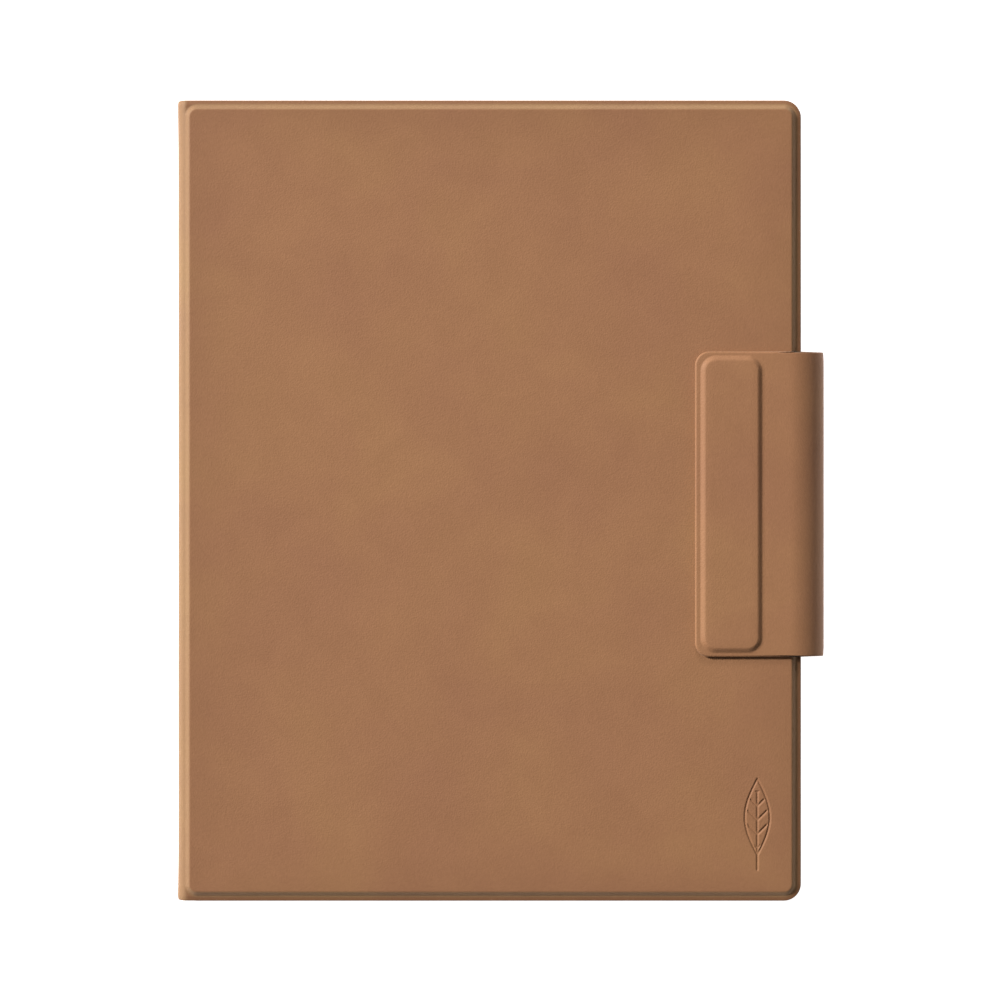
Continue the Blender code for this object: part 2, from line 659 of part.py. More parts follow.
def build_electronics(body):
    for name, side in (("battery_left", -1), ("battery_right", 1)):
        reader_block(name, body, BATTERY, "battery", 2 * MM, side)

    half_width, top, shoulder, foot = 80.0 * MM, BOARD_Y + 19.0 * MM, BOARD_Y - 19.0 * MM, -110.1 * MM
    tab = 6.0 * MM
    outline = [(-half_width, shoulder), (-tab, shoulder), (-tab, foot), (tab, foot), (tab, shoulder)]
    outline += [(half_width, shoulder), (half_width, top), (-half_width, top)]
    outline = [reader_spot(x, y) for x, y in outline]
    low, high = reader_z(MAIN_BOARD_Z), reader_z(MAIN_BOARD_Z + MAIN_BOARD)
    board = slab("main_board", body, outline, low, high, "circuit_board")
    holes = []
    for x, y in BOARD_SCREWS:
        ring = circle(*reader_spot(x, y), SCREW_HOLE)
        holes.append([level(ring, low - MM), level(ring, high + MM)])
    combine(board, cutter("main_board_holes", holes), "DIFFERENCE")

    chip_levels = FLOOR + CLEAR, MAIN_BOARD_Z - FLOOR - 2 * CLEAR
    chips = (
        ("processor_shield", -30.0 * MM, (40.0 * MM, 26.0 * MM), "steel"),
        ("power_shield", 34.0 * MM, (24.0 * MM, 24.0 * MM), "steel"),
        ("cover_sensor", -64.0 * MM, (4.0 * MM, 4.0 * MM), "black_plastic"),
    )
    for name, x, size, finish in chips:
        reader_block(name, body, ((x, BOARD_Y), size, chip_levels), finish)

    panel_edge, landing = PANEL_Y - PANEL_SIZE[1] / 2, BOARD_Y - 13.0 * MM
    flex("display_flex", body, 0, 30.0 * MM, panel_edge - CLEAR, reader_z(PAPER_Z + CLEAR), landing)
    digitiser_edge = panel_edge + MM - CLEAR
    flex("digitiser_flex", body, 30.0 * MM, 14.0 * MM, digitiser_edge, reader_z(DIGITISER_Z), landing)

    for name, side in (("speaker_left", -1), ("speaker_right", 1)):
        reader_block(name, body, SPEAKER, "black_plastic", 1.5 * MM, side)
    reader_block("microphone", body, MICROPHONE, "steel")
    reader_block("wireless_antenna", body, ANTENNA, "flex", 0.2 * MM)
    reader_block("power_switch", body, SWITCH, "black_plastic")
    for number, (side, end) in enumerate(((-1, -1), (-1, 1), (1, -1), (1, 1)), 1):
        reader_block(f"reader_magnet_{number}", body, READER_MAGNET, "magnet", side=side, end=end)


def build_port(body):
    """The charging port: an open metal shell, and the block and tongue inside it."""
    width, tall = PORT_SIZE
    mouth_y = -READER_HEIGHT / 2 + 0.1 * MM
    back_y = mouth_y + PORT_DEPTH

    def ring(inset, y):
        half_width, half_tall = width / 2 - inset, tall / 2 - inset
        box = rounded_box(
            READER_X - half_width, READER_X + half_width, reader_z(PORT_Z) - half_tall,
            reader_z(PORT_Z) + half_tall, half_tall * 0.98,
        )
        return upright(box, y)

    shell = [ring(PORT_SHELL, mouth_y), ring(0, mouth_y), ring(0, back_y), ring(PORT_SHELL, back_y)]
    loft("usb_port_shell", body, shell, "steel", looped=True)

    half_tongue, half_thick, middle = 3.3 * MM, 0.35 * MM, reader_z(PORT_Z)
    tongue_box = rounded_box(
        READER_X - half_tongue, READER_X + half_tongue, middle - half_thick, middle + half_thick, 0.2 * MM
    )
    inner = PORT_SHELL + GLUE
    block_y = back_y - 1.8 * MM
    rings = [ring(inner, back_y - GLUE), ring(inner, block_y)]
    rings += [upright(tongue_box, block_y - 0.01 * MM), upright(tongue_box, mouth_y + 0.6 * MM)]
    loft("usb_port_tongue", body, rings, "black_plastic")


def build_screw(name, body, x, y, head_z, length, tall):
    """A pan-head screw: a shank in its boss and a head over what it clamps."""
    radius = 1.5 * MM
    rings = [
        level(circle(*reader_spot(x, y), SCREW_SHANK), reader_z(head_z - length)),
        level(circle(*reader_spot(x, y), SCREW_SHANK), reader_z(head_z)),
        level(circle(*reader_spot(x, y), radius), reader_z(head_z)),
        level(circle(*reader_spot(x, y), radius), reader_z(head_z + tall * 0.6)),
        level(circle(*reader_spot(x, y), radius * 0.8), reader_z(head_z + tall)),
    ]
    loft(name, body, rings, "steel")


def build_screws(body):
    for number, (x, y) in enumerate(FRAME_SCREWS, 1):
        seat = MID_FRAME_Z + MID_FRAME + 0.05 * MM
        build_screw(f"frame_screw_{number}", body, x, y, seat, 2.1 * MM, 0.4 * MM)
    for number, (x, y) in enumerate(BOARD_SCREWS, 1):
        seat = MAIN_BOARD_Z + MAIN_BOARD + 0.02 * MM
        build_screw(f"board_screw_{number}", body, x, y, seat, 1.5 * MM, 0.28 * MM)


def build_power_button(body):
    """A key in the head wall, with a lip behind the wall that keeps it in."""
    width, tall = BUTTON_SIZE
    outer_y = READER_HEIGHT / 2 + BUTTON_PROUD
    lip_y = READER_HEIGHT / 2 - WALL - 0.1 * MM
    lip, lip_depth = 0.8 * MM, 0.7 * MM
    x, z = READER_X + BUTTON_X, reader_z(PORT_Z)

    def ring(grow, y):
        half_width, half_tall = width / 2 + grow, tall / 2 + grow / 2
        box = rounded_box(x - half_width, x + half_width, z - half_tall, z + half_tall, 0.6 * MM, steps=4)
        return upright(box, y)

    rings = [ring(lip, lip_y - lip_depth), ring(lip, lip_y), ring(0, lip_y + 0.01 * MM)]
    rings += [ring(0, outer_y - 0.2 * MM), ring(-0.2 * MM, outer_y)]
    loft("power_button", body, rings, "housing")


# ---------------------------------------------------------------- the assembly


def on_axis(axis):
    return axis.x, 0.0, axis.y


clear_scene()
WORLD = make_body("rear_cover_body")
READER = make_body("reader_body", (READER_X, 0.0, READER_Z), WORLD)
BUTTON = make_body("power_button_body", (READER_X + BUTTON_X, READER_HEIGHT / 2, reader_z(PORT_Z)), READER)
SPINE = make_body("spine_body", on_axis(SPINE_AXIS), WORLD)
FRONT = make_body("front_cover_body", on_axis(COVER_AXIS), SPINE)
FLAP_WEB = make_body("flap_web_body", on_axis(ROOT_AXIS), WORLD)
FLAP_TIP = make_body("flap_tip_body", on_axis(TIP_AXIS), FLAP_WEB)

build_rear_cover(WORLD)
build_spine(SPINE)
build_front_cover(FRONT)
build_flap_bends(WORLD, FLAP_WEB, FLAP_TIP)
build_flap_tip(FLAP_TIP)
build_housing(READER)
build_front(READER)
build_electronics(READER)
build_port(READER)
build_screws(READER)
build_power_button(BUTTON)
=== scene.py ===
import math

import bpy
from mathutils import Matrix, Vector, noise


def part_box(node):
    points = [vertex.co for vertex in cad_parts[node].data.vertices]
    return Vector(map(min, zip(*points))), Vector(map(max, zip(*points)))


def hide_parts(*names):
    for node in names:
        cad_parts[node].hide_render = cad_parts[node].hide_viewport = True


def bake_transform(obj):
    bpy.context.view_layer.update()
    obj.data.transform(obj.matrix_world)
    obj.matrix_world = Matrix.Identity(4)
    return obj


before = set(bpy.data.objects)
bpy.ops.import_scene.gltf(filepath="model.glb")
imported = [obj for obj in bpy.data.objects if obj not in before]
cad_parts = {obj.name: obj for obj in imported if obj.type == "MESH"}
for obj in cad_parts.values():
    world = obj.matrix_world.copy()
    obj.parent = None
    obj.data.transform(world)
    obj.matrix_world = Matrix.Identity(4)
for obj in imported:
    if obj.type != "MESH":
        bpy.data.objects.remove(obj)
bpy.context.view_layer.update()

MM = 0.001

# ---------------------------------------------------------------- sizes

# The folio's layers
SKIN = 0.6 * MM
LINING = 0.5 * MM
EDGE = 1.2 * MM  # a cover's rim: skin, glue and lining
FLAP = 1.1 * MM  # the strap's thickness
FLAP_LINING = 0.4 * MM
PLATE_RISE = 0.8 * MM
PLATE_SIZE = (16.8 * MM, 86.9 * MM)
PLATE_MARGIN = 2.4 * MM  # from the flap's tip to its raised pocket
WEB_BULGE = 0.3 * MM  # the flap's bend stands this far beyond its solid
WEB_SAG = 1.8 * MM  # its outermost place is this far below the middle of its height

# Places from the frame
LINING_LOW, LINING_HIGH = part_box("front_cover_lining")
HINGE_X, FORE_X, HEAD_Y = LINING_LOW.x, LINING_HIGH.x, LINING_HIGH.y
SPINE_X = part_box("spine_skin")[0].x
BEND = HINGE_X - SPINE_X
FRONT_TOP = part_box("front_cover_skin")[1].z
RISE = FRONT_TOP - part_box("front_cover_skin")[0].z - SKIN
RIM_TOP = FRONT_TOP - RISE
MID_Z = FRONT_TOP / 2

TIP_LOW, TIP_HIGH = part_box("flap_tip_skin")
FLAP_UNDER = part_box("flap_tip_lining")[0].z
FLAP_TOP = FLAP_UNDER + FLAP
LOOP_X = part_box("flap_web")[1].x + WEB_BULGE
LOOP_Z = (RISE + FLAP_TOP) / 2 - WEB_SAG
FLAP_Y = (TIP_LOW.y + TIP_HIGH.y) / 2
FLAP_HALF = (TIP_HIGH.y - TIP_LOW.y) / 2

# Shapes that only show here
RIM_WIDTH = 1.3 * MM
RIM_DROOP = 0.3 * MM  # a rim's outer edge hangs this much below its inner one
SLOPE = 1.8 * MM
GLUE = 0.08 * MM  # the leather's lower face is this much lower than its thickness says
CREASE = 0.5 * MM  # the sheet turns over this far on each side of a hinge
SPINE_FLARE = 0.3 * MM  # the spine's head and tail spread outwards by this much
FLARE_REACH = 6.0 * MM
EDGE_ROUND = 0.35 * MM
EDGE_DROP = 0.25 * MM
COVER_CORNER = 5.0 * MM
PANEL_CORNER = 2.0 * MM
FOOT_CORNER = PANEL_CORNER + SLOPE
SQUARE_CORNER = 0.05 * MM  # where two sheets meet

STRAP_ROUND = 0.6 * MM
STRAP_DROP = 0.5 * MM
STRAP_DROOP = 0.08 * MM
STRAP_TUCK = 2.0 * MM  # the root reaches this far under the rear cover's rim
FLAP_CORNER = 4.2 * MM
PLATE_SLOPE = 1.8 * MM
PLATE_CORNER = 3.8 * MM
PLATE_FOOT_CORNER = PLATE_CORNER + PLATE_SLOPE / 2

EMBLEM = Vector((76.5 * MM, -96.5 * MM))
EMBLEM_SIZE = (7.4 * MM, 27.0 * MM)
EMBLEM_DEPTH = 0.24 * MM

# How finely the sheets are divided
ARC_STEPS = 12  # along a corner's arc
CORNER_STEP = 0.35 * MM  # between the grid lines that lead to a corner's arc
SLOPE_STEPS = 10
SPINE_STEPS = 120
STRAP_ARC_STEPS = 32
BEYOND = 50 * MM  # takes a sheet's end out of reach where its edge isn't rounded


# ---------------------------------------------------------------- small helpers


def ease(t):
    t = min(max(t, 0.0), 1.0)
    return t * t * (3 - 2 * t)


def mix(a, b, t):
    return a + (b - a) * t


def steps(low, high, size):
    """Evenly spaced values from low to high, about size apart."""
    count = max(1, round((high - low) / size))
    return [mix(low, high, i / count) for i in range(count + 1)]


def inside(s, y, box, left_radius, right_radius):
    """How far a point lies inside a rounded rectangle, negative outside.

    box is left, right, low, high. The radii are those of the corners on its left and on its right.
    """
    left, right, low, high = box
    middle_s, middle_y = (left + right) / 2, (low + high) / 2
    radius = left_radius if s < middle_s else right_radius
    across = abs(s - middle_s) - (right - left) / 2 + radius
    along = abs(y - middle_y) - (high - low) / 2 + radius
    outside = math.hypot(max(across, 0.0), max(along, 0.0))
    return radius - outside - min(max(across, along), 0.0)


def edge_drop(distance, width, drop):
    """How far a rounded edge falls away at a distance in from it."""
    reach = 1 - min(max(distance / width, 0.0), 1.0)
    return drop * (1 - math.sqrt(max(1 - reach**2, 0.0)))


def ripple(s, y, size, seed):
    """A smooth uneven height between about -1 and 1, with waves of about that size."""
    return noise.noise(Vector((s / size, y / size, seed)))


# ---------------------------------------------------------------- sheets, modelled flat and then bent


def ring_points(box, left_radius, right_radius, lines):
    """A rounded rectangle that starts in the middle of its lower left corner's arc.

    lines are the places of the inner grid's lines along s and y. The outline has a point for each
    point on the grid's edge, so that the two can be joined.
    """
    left, right, low, high = box
    half = ARC_STEPS // 2
    along_s, along_y = lines[0][half:-half], lines[1][half:-half]

    def shares(values):
        return [(v - values[0]) / (values[-1] - values[0]) for v in values]

    corners = (
        (left + left_radius, low + left_radius, left_radius, 180),
        (right - right_radius, low + right_radius, right_radius, 270),
        (right - right_radius, high - right_radius, right_radius, 0),
        (left + left_radius, high - left_radius, left_radius, 90),
    )

    def arc(corner, first, last):
        cs, cy, radius, start = corner
        points = []
        for step in range(first, last):
            angle = math.radians(start + 90 * step / ARC_STEPS)
            points.append((cs + radius * math.cos(angle), cy + radius * math.sin(angle)))
        return points

    points = []
    for number, corner in enumerate(corners):
        points += arc(corner, half, ARC_STEPS)
        after = corners[(number + 1) % 4]
        start = arc(corner, ARC_STEPS, ARC_STEPS + 1)[0]
        end = arc(after, 0, 1)[0]
        side = shares(along_s if number % 2 == 0 else along_y)
        if number >= 2:
            side = [1 - share for share in reversed(side)]
        points += [(mix(start[0], end[0], t), mix(start[1], end[1], t)) for t in side[:-1]]
        points += arc(after, 0, half)
    return points


def build_sheet(name, rings, lines, place, top, under, material, edge_darkening_and_highlight=None, bends=False):
    """A closed sheet. rings run from the outline inwards, and the grid of lines fills the last one.

    place takes a point from the flat sheet (s, y, height) to where it lies; top and under give the
    heights of its two faces. A further function, if given, marks from 0 to 1 where the colour darkens and
    where it takes a painted highlight tint.
    The lower face has one flat polygon inside its last ring, or a grid of its own if the sheet bends.
    """
    outlines = [ring_points(*ring, lines) for ring in rings]
    count, last = len(outlines[0]), len(outlines) - 1
    along_s, along_y = lines
    across, tall = len(along_s), len(along_y)

    flat = [(s, y, top(s, y)) for outline in outlines for s, y in outline]
    grid_start = len(flat)
    flat += [(s, y, top(s, y)) for y in along_y for s in along_s]
    under_start = len(flat)
    flat += [(s, y, under(s, y)) for outline in outlines for s, y in outline]
    under_grid_start = len(flat)
    if bends:
        flat += [(s, y, under(s, y)) for y in along_y for s in along_s]

    def around(level, start=0):
        return [start + level * count + i for i in range(count)]

    def joined(outer, inner):
        pairs = [(i, (i + 1) % count) for i in range(count)]
        return [(outer[i], outer[j], inner[j], inner[i]) for i, j in pairs]

    def filled(ring, start):
        """The faces inside a ring: a band to the grid whose points start there, and the grid's."""

        def grid(column, row):
            return start + row * across + column

        border = [grid(i, 0) for i in range(across - 1)]
        border += [grid(across - 1, j) for j in range(tall - 1)]
        border += [grid(i, tall - 1) for i in range(across - 1, 0, -1)]
        border += [grid(0, j) for j in range(tall - 1, 0, -1)]
        found = joined(ring, border)
        for j in range(tall - 1):
            for i in range(across - 1):
                found.append((grid(i, j), grid(i + 1, j), grid(i + 1, j + 1), grid(i, j + 1)))
        return found

    faces = []
    for level in range(last):
        faces += joined(around(level), around(level + 1))
        faces += joined(around(level + 1, under_start), around(level, under_start))
    faces += filled(around(last), grid_start)
    under_ring = around(last, under_start)
    lower = filled(under_ring, under_grid_start) if bends else [under_ring]
    faces += [tuple(reversed(face)) for face in lower]
    faces += joined(around(0, under_start), around(0))
    return make_piece(name, flat, faces, place, material, edge_darkening_and_highlight)


def make_piece(name, flat, faces, place, material, edge_darkening_and_highlight):
    """An object from flat points. It keeps them as an attribute, which its material's pattern follows."""
    mesh = bpy.data.meshes.new(name)
    mesh.from_pydata([place(*point) for point in flat], [], faces)
    attribute = mesh.attributes.new("flat_place", "FLOAT_VECTOR", "POINT")
    attribute.data.foreach_set("vector", [value for point in flat for value in point])
    # A second attribute marks the leather's darker edges and its painted highlight tint, from 0 to 1.
    if edge_darkening_and_highlight:
        attribute = mesh.attributes.new("edge_darkening_and_highlight", "FLOAT", "POINT")
        attribute.data.foreach_set("value", [edge_darkening_and_highlight(s, y) for s, y, _ in flat])
    mesh.shade_smooth()
    mesh.set_sharp_from_angle(angle=math.radians(50))
    mesh.materials.append(material)
    mesh.validate()
    item = bpy.data.objects.new(name, mesh)
    bpy.context.scene.collection.objects.link(item)
    return item


def shell_rings(outer, outer_radii, inner, inner_radii, shares):
    """Rings between an outline and an inner one. Each is a box with its left and right corner radii."""
    rings = []
    for share in shares:
        box = tuple(mix(a, b, share) for a, b in zip(outer, inner))
        radii = [mix(a, b, share) for a, b in zip(outer_radii, inner_radii)]
        rings.append((box, *radii))
    return rings


def inset_box(box, inset):
    return box[0] + inset, box[1] - inset, box[2] + inset, box[3] - inset


def inset_rings(box, corner, insets):
    """Rings that lie evenly inside a box with round corners."""
    return [(inset_box(box, inset), corner - inset, corner - inset) for inset in insets]


def corner_lines(low, high, between):
    """Grid lines from low to high: the given ones, after and before those that lead to the corners."""
    offsets = [CORNER_STEP * i for i in range(ARC_STEPS // 2)]
    return [low + offset for offset in offsets] + between + [high - offset for offset in reversed(offsets)]


def grid_range(low, high):
    """The stretch between the lines that lead to the corners."""
    reach = ARC_STEPS // 2 * CORNER_STEP
    return low + reach, high - reach


def level_face(height):
    """The face of a sheet that is flat."""
    return lambda s, y: height


# ---------------------------------------------------------------- covers and spine


def spine_path():
    """The leather's outer face from a cover's rim round to the middle of the spine.

    It turns at the hinge, then follows an arc. Gives each point's place along the flat sheet, its
    x and z, and the tilt of its outward normal from upright.
    """
    half = RIM_TOP - MID_Z
    radius = (half**2 + BEND**2) / (2 * BEND)
    arc = math.asin(half / radius)
    kink = math.pi / 2 - arc
    length = CREASE + radius * arc
    step = length / SPINE_STEPS

    def turned(run):
        return kink * ease(run / (2 * CREASE))

    points, tilts = [(0.0, 0.0)], [0.0]
    for i in range(SPINE_STEPS):
        run = (i + 0.5) * step
        round_arc = max(run - CREASE, 0.0) / radius
        tilt = turned(run) + round_arc
        x, z = points[-1]
        points.append((x - math.cos(tilt) * step, z - math.sin(tilt) * step))
        tilts.append(turned((i + 1) * step) + round_arc)
    start = HINGE_X + CREASE
    stretch_x = (SPINE_X - start) / points[-1][0]
    stretch_z = (MID_Z - RIM_TOP) / points[-1][1]
    return [
        (start - i * step, start + x * stretch_x, RIM_TOP + z * stretch_z, tilt)
        for i, ((x, z), tilt) in enumerate(zip(points, tilts))
    ]


SPINE_PATH = spine_path()
SPINE_END = SPINE_PATH[-1][0]  # the spine's middle, laid flat
COVER_FOOT = (HINGE_X - 0.1 * MM, FORE_X - RIM_WIDTH, -HEAD_Y + RIM_WIDTH, HEAD_Y - RIM_WIDTH)


def bend_cover(front):
    """Where a point of a cover's flat sheet lies. The rear cover mirrors the front one."""
    start = SPINE_PATH[0][0]
    step = (start - SPINE_END) / SPINE_STEPS

    def place(s, y, height):
        if s >= start:
            x, z = s, RIM_TOP + height
        else:
            spot = min((start - s) / step, SPINE_STEPS - 0.0001)
            before, after = SPINE_PATH[int(spot)], SPINE_PATH[int(spot) + 1]
            x, z, tilt = (mix(a, b, spot % 1) for a, b in zip(before[1:], after[1:]))
            x -= math.sin(tilt) * height
            z += math.cos(tilt) * height
        flare = SPINE_FLARE * math.exp(-(HEAD_Y - abs(y)) / FLARE_REACH) * ease((HINGE_X - s) / BEND)
        return x - flare, y, z if front else 2 * MID_Z - z

    return place


def emblem_depth(s, y):
    """A long leaf with its midrib and veins pressed into the leather: 0 outside to 1 inside."""
    width, length = EMBLEM_SIZE
    across, along = abs(s - EMBLEM.x), y - EMBLEM.y + length / 2
    if across > width or not -MM < along < length + MM:
        return 0.0
    half_stroke, blur = 0.28 * MM, 0.2 * MM
    stalk, first_vein, last_vein = 0.16 * length, 0.25 * length, 0.86 * length
    vein_pitch, vein_gap = 4.2 * MM, 0.9 * MM
    half_width = width / 2 * math.sin(math.pi * min(max((along - stalk) / (length - stalk), 0.0), 1.0))
    vein = abs((along - across) % vein_pitch - vein_pitch / 2) * math.sqrt(0.5)
    lines = [
        (abs(across - half_width), max(stalk - along, along - length)),
        (across, max(-along, along - last_vein)),
        (vein, max(across - half_width + vein_gap, first_vein - along, along - last_vein)),
    ]
    best = 0.0
    for distance, over in lines:
        reach = math.hypot(distance, max(over, 0.0))
        best = max(best, 1 - ease((reach - half_stroke) / blur + 0.5))
    return best


def cover_faces(front):
    """The two faces of a cover's leather over its rim, slope and panel, and its darker edges and painted
    highlight.
    """
    outline = (SPINE_END - BEYOND, FORE_X, -HEAD_Y, HEAD_Y)
    seed = 3.7 if front else 11.2
    change, edge_darkening_reach = 0.4 * MM, 12 * MM

    def past_foot(s, y):
        return inside(s, y, COVER_FOOT, FOOT_CORNER, FOOT_CORNER)

    def smooth_face(s, y):
        return RISE * ease(past_foot(s, y) / SLOPE) ** 0.9

    def top(s, y):
        height = smooth_face(s, y)
        edge = inside(s, y, outline, SQUARE_CORNER, COVER_CORNER)
        height -= edge_drop(edge, EDGE_ROUND, EDGE_DROP) + RIM_DROOP * (1 - min(edge / RIM_WIDTH, 1.0))
        height += (0.035 * ripple(s, y, 26 * MM, seed) + 0.012 * ripple(s, y, 7 * MM, seed)) * MM
        if front and past_foot(s, y) > SLOPE:
            height -= EMBLEM_DEPTH * emblem_depth(s, y)
        return height

    def under(s, y):
        return smooth_face(s, y) - SKIN - GLUE

    def edge_darkening_and_highlight(s, y):
        """0.4 at the panel's darker edges, 0.7 for a painted highlight tint on slope and spine, 1 on the
        darker rim.
        """
        # The slope's share sets the painted highlight tint, and the rim's share sets the darker rim.
        inward = past_foot(s, y)
        rim = ease(-inward / change) * ease((s - HINGE_X) / MM)
        slope = ease((SLOPE - inward) / change)
        return 0.4 * math.exp(-max(inward - SLOPE, 0.0) / edge_darkening_reach) + 0.3 * slope + 0.3 * rim

    return top, under, edge_darkening_and_highlight


def cover_lines(box, front):
    """Grid lines over a panel, close together where the emblem is and beside the spine."""
    left, right, low, high = box
    coarse, fine, by_spine = 3.0 * MM, 0.2 * MM, 0.5 * MM
    spine_side, margin = 7.0 * MM, 0.8 * MM

    def between(start, end, middle, size):
        if not front:
            return steps(start, end, coarse)
        reach = size / 2 + margin
        before = steps(start, middle - reach, coarse)[:-1]
        after = steps(middle + reach, end, coarse)[1:]
        return before + steps(middle - reach, middle + reach, fine) + after

    start, end = grid_range(left, right)
    near_spine = steps(start, start + spine_side, by_spine)[:-1]
    along_s = near_spine + between(start + spine_side, end, EMBLEM.x, EMBLEM_SIZE[0])
    along_y = between(*grid_range(low, high), EMBLEM.y, EMBLEM_SIZE[1])
    return corner_lines(left, right, along_s), corner_lines(low, high, along_y)


def build_cover_skin(name, front, material):
    """Rings over the rim and the spine, up the slope and onto the panel, then the panel's grid."""
    outline = (SPINE_END, FORE_X, -HEAD_Y, HEAD_Y)
    outline_corners = (SQUARE_CORNER, COVER_CORNER + 0.2 * MM)
    rim_shares = [0, 0.03, 0.07, 0.12, 0.18, 0.25, 0.33, 0.42, 0.5, 0.58, 0.66, 0.74, 0.82, 0.9, 0.95]
    rings = shell_rings(outline, outline_corners, COVER_FOOT, (FOOT_CORNER, FOOT_CORNER), rim_shares)
    slope_insets = [SLOPE * step / SLOPE_STEPS for step in range(SLOPE_STEPS + 1)]
    panel_insets = [SLOPE + further * MM for further in (0.3, 0.8, 1.5)]
    rings += inset_rings(COVER_FOOT, FOOT_CORNER, slope_insets + panel_insets)
    lines = cover_lines(inset_box(COVER_FOOT, SLOPE + 2.4 * MM), front)
    top, under, edge_darkening_and_highlight = cover_faces(front)
    return build_sheet(name, rings, lines, bend_cover(front), top, under, material, edge_darkening_and_highlight)


def build_cover_lining(name, front, material):
    inset, border = 0.15 * MM, 3.0 * MM
    outline = (SPINE_END, FORE_X - inset, -HEAD_Y + inset, HEAD_Y - inset)
    field = (HINGE_X + 4 * MM, FORE_X - border, -HEAD_Y + border, HEAD_Y - border)
    shares = [0, 0.02, 0.05, 0.1, 0.16, 0.22, 0.28, 0.34, 0.4, 0.46, 0.52, 0.6, 0.7, 0.85, 1]
    rings = shell_rings(outline, (SQUARE_CORNER, COVER_CORNER), field, (2 * MM, 3 * MM), shares)
    lines = cover_lines(inset_box(field, 3 * MM), False)
    rounded = (SPINE_END - BEYOND, *outline[1:])
    edge_round, edge_lift = 0.25 * MM, 0.2 * MM

    def under(s, y):
        edge = inside(s, y, rounded, SQUARE_CORNER, COVER_CORNER)
        uneven = 0.015 * MM * ripple(s, y, 15 * MM, 6.0 if front else 5.0)
        return -EDGE + edge_drop(edge, edge_round, edge_lift) + uneven

    top = level_face(-EDGE + LINING)
    return build_sheet(name, rings, lines, bend_cover(front), top, under, material)


# ---------------------------------------------------------------- closure flap


def strap_path():
    """The strap's outer face from its root to its tip: length so far, point and outward normal.

    It bends along a lower and an upper quarter of an ellipse, which share a point.
    """
    curve = [((FORE_X - STRAP_TUCK, RISE), (0.0, -1.0))]
    low = (FORE_X, LOOP_X - FORE_X, LOOP_Z - RISE, -90, 0)
    high = (TIP_HIGH.x, LOOP_X - TIP_HIGH.x, FLAP_TOP - LOOP_Z, 0, 90)
    for shared, (centre, wide, tall, start, end) in enumerate((low, high)):
        for step in range(shared, STRAP_ARC_STEPS + 1):
            t = math.radians(mix(start, end, step / STRAP_ARC_STEPS))
            normal = Vector((math.cos(t) / wide, math.sin(t) / tall)).normalized()
            curve.append(((centre + wide * math.cos(t), LOOP_Z + tall * math.sin(t)), tuple(normal)))
    curve.append(((TIP_LOW.x, FLAP_TOP), (0.0, 1.0)))
    lengths = [0.0]
    for (a, _), (b, _) in zip(curve, curve[1:]):
        lengths.append(lengths[-1] + math.hypot(b[0] - a[0], b[1] - a[1]))
    return lengths, curve


STRAP_LENGTHS, STRAP = strap_path()
STRAP_MIDDLE = STRAP_LENGTHS[STRAP_ARC_STEPS + 1]  # where the web stands upright
STRAP_END = STRAP_LENGTHS[-1]
STRAP_UNDER = -FLAP + FLAP_LINING  # the lower face of the strap's leather


def bend_strap(s, y, height):
    """Where a point of the strap's flat sheet lies. The sheet has the tip on its left, at s = 0."""
    u = min(max(STRAP_END - s, 0.0), STRAP_END)
    index = max(i for i, length in enumerate(STRAP_LENGTHS[:-1]) if length <= u)
    share = (u - STRAP_LENGTHS[index]) / (STRAP_LENGTHS[index + 1] - STRAP_LENGTHS[index])
    (a, normal_a), (b, normal_b) = STRAP[index], STRAP[index + 1]
    normal = Vector((mix(normal_a[0], normal_b[0], share), mix(normal_a[1], normal_b[1], share)))
    normal.normalize()
    return mix(a[0], b[0], share) + normal.x * height, y, mix(a[1], b[1], share) + normal.y * height


def plate_foot():
    """The outline of the raised pocket on the strap's flat sheet, at the foot of its slope."""
    middle = PLATE_MARGIN + PLATE_SIZE[0] / 2
    wide, tall = (size / 2 + PLATE_SLOPE / 2 for size in PLATE_SIZE)
    return middle - wide, middle + wide, FLAP_Y - tall, FLAP_Y + tall


def strap_top(s, y):
    outline = (0.0, STRAP_END + BEYOND, FLAP_Y - FLAP_HALF, FLAP_Y + FLAP_HALF)
    share = inside(s, y, plate_foot(), PLATE_FOOT_CORNER, PLATE_FOOT_CORNER) / PLATE_SLOPE
    height = PLATE_RISE * ease(share) ** 0.75
    edge = inside(s, y, outline, FLAP_CORNER, SQUARE_CORNER)
    height -= edge_drop(edge, STRAP_ROUND, STRAP_DROP) + STRAP_DROOP * math.exp(-edge / MM)
    return height + 0.02 * MM * ripple(s, y, 14 * MM, 21.0)


def strap_lines(box, step_s, step_y):
    left, right, low, high = box
    along_s = steps(*grid_range(left, right), step_s)
    along_y = steps(*grid_range(low, high), step_y)
    return corner_lines(left, right, along_s), corner_lines(low, high, along_y)


def build_strap_tip(skin_material, lining_material):
    """From the middle of the web over the fore edge to the flap's tip, with its raised pocket."""
    outline = (0.0, STRAP_END - STRAP_MIDDLE, FLAP_Y - FLAP_HALF, FLAP_Y + FLAP_HALF)
    corners = (FLAP_CORNER, SQUARE_CORNER)
    foot = plate_foot()
    shares = [0, 0.03, 0.07, 0.12, 0.18] + [0.24 + 0.76 * i / 20 for i in range(20)]
    rings = shell_rings(outline, corners, foot, (PLATE_FOOT_CORNER, PLATE_FOOT_CORNER), shares)
    slope_insets = [PLATE_SLOPE * step / SLOPE_STEPS for step in range(SLOPE_STEPS + 1)]
    rings += inset_rings(foot, PLATE_FOOT_CORNER, slope_insets)
    lines = strap_lines(inset_box(foot, PLATE_SLOPE + 2 * MM), 2 * MM, 2 * MM)
    under = level_face(STRAP_UNDER)
    skin = build_sheet("flap_tip_leather", rings, lines, bend_strap, strap_top, under, skin_material)
    lining = build_strap_lining("flap_tip_microfibre", outline, corners, lining_material)
    return skin, lining


